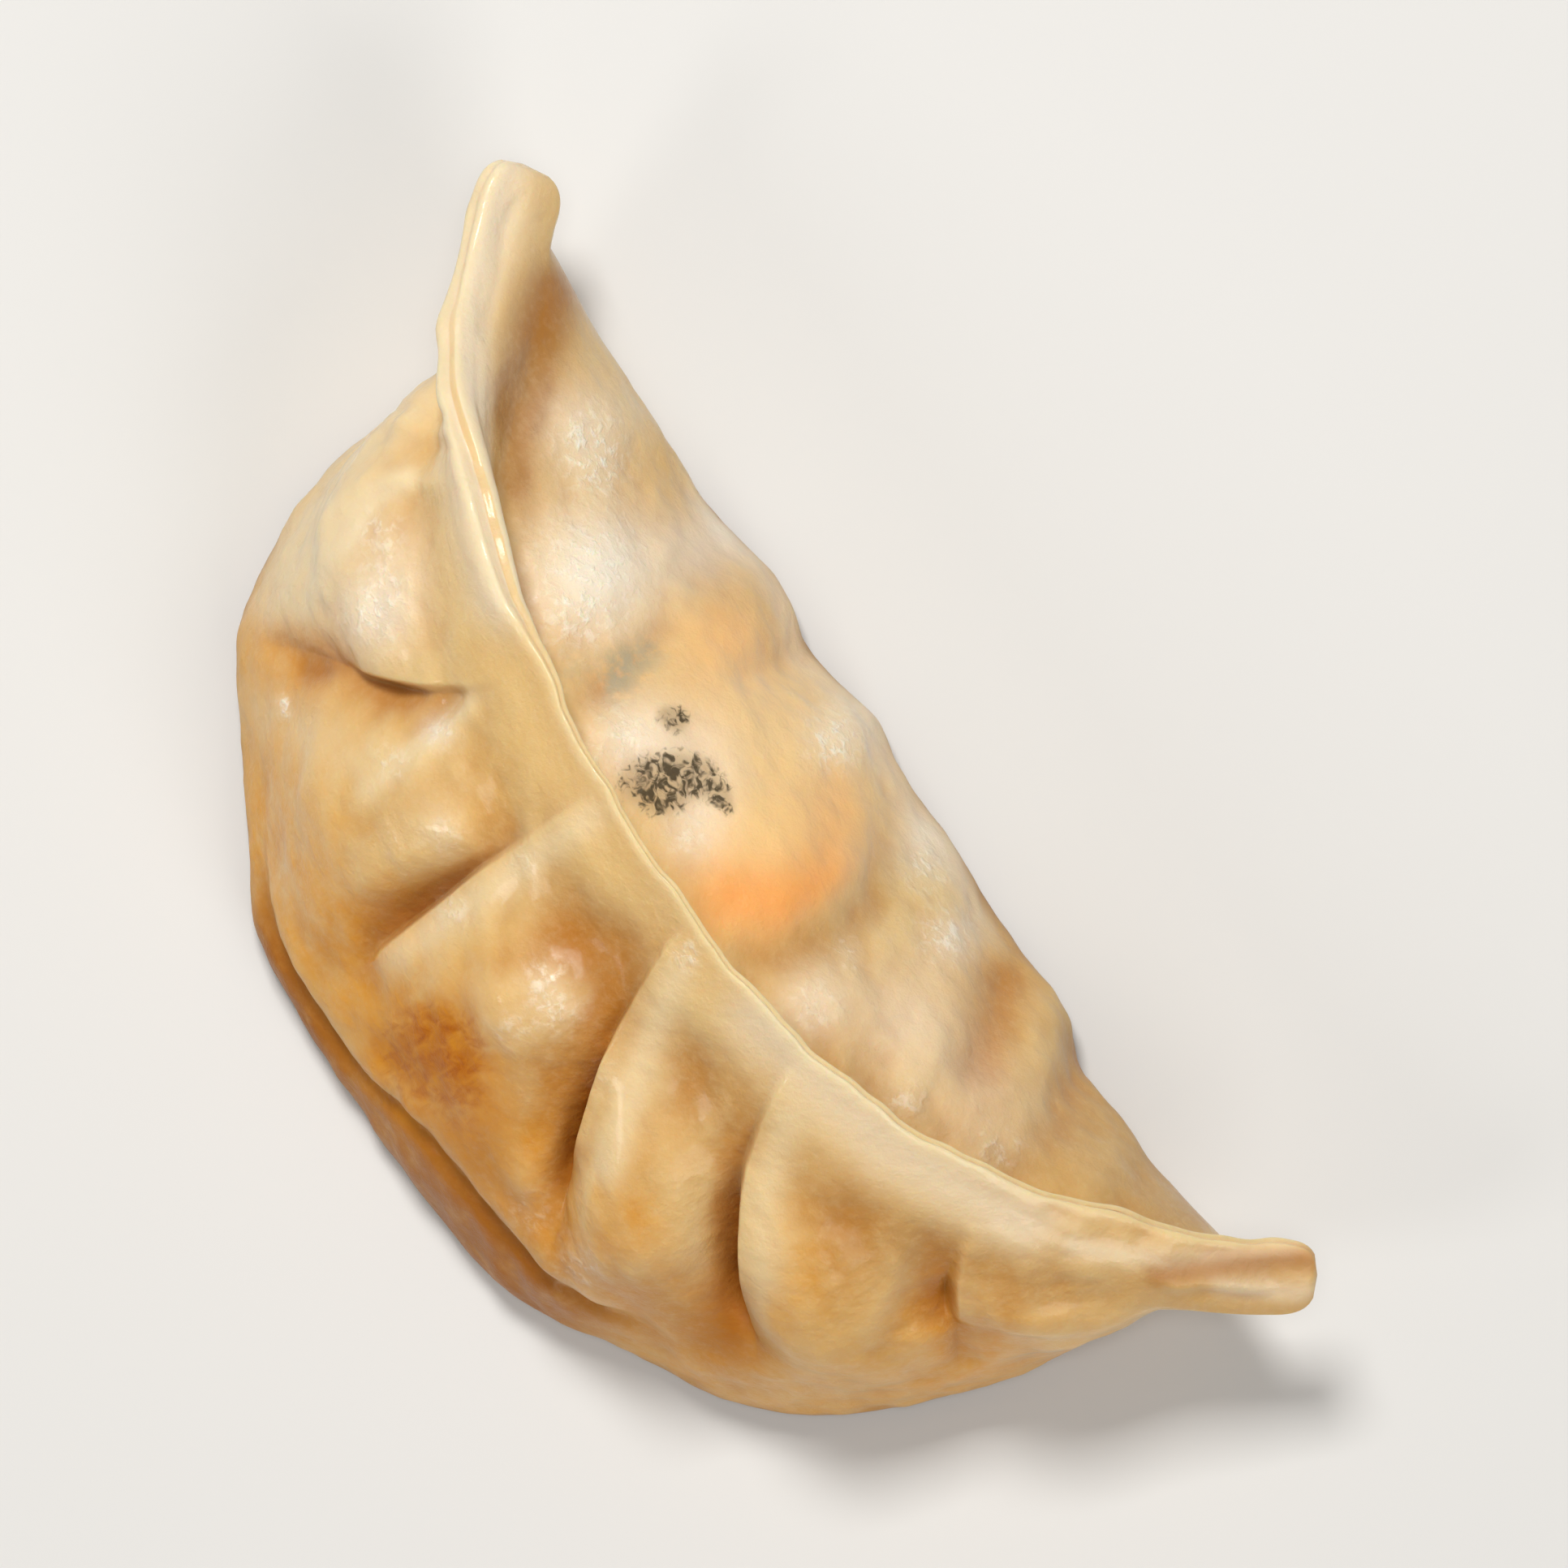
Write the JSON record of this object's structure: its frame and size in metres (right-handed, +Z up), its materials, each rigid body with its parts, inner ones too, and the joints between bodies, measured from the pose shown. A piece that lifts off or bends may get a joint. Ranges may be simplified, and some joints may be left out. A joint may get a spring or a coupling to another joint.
{
  "type": "seafood gyoza",
  "caption": "Pan-fried crescent dumpling with a pleated front, a smooth back, a crimped sealing edge and a flat seared base.",
  "frame": {"origin": "middle of the bounding box's underside, on the plate", "axes": "+X from the left tip to the right tip seen from the pleated front, +Y from the pleated front to the smooth back, +Z up"},
  "size_m": [0.0802, 0.0408, 0.0262],
  "materials": {
    "dough": "cooked wheat dough, glossy with oil, browned at the base"
  },
  "bodies": {
    "root": {"gyoza": "dough"}
  },
  "joints": []
}
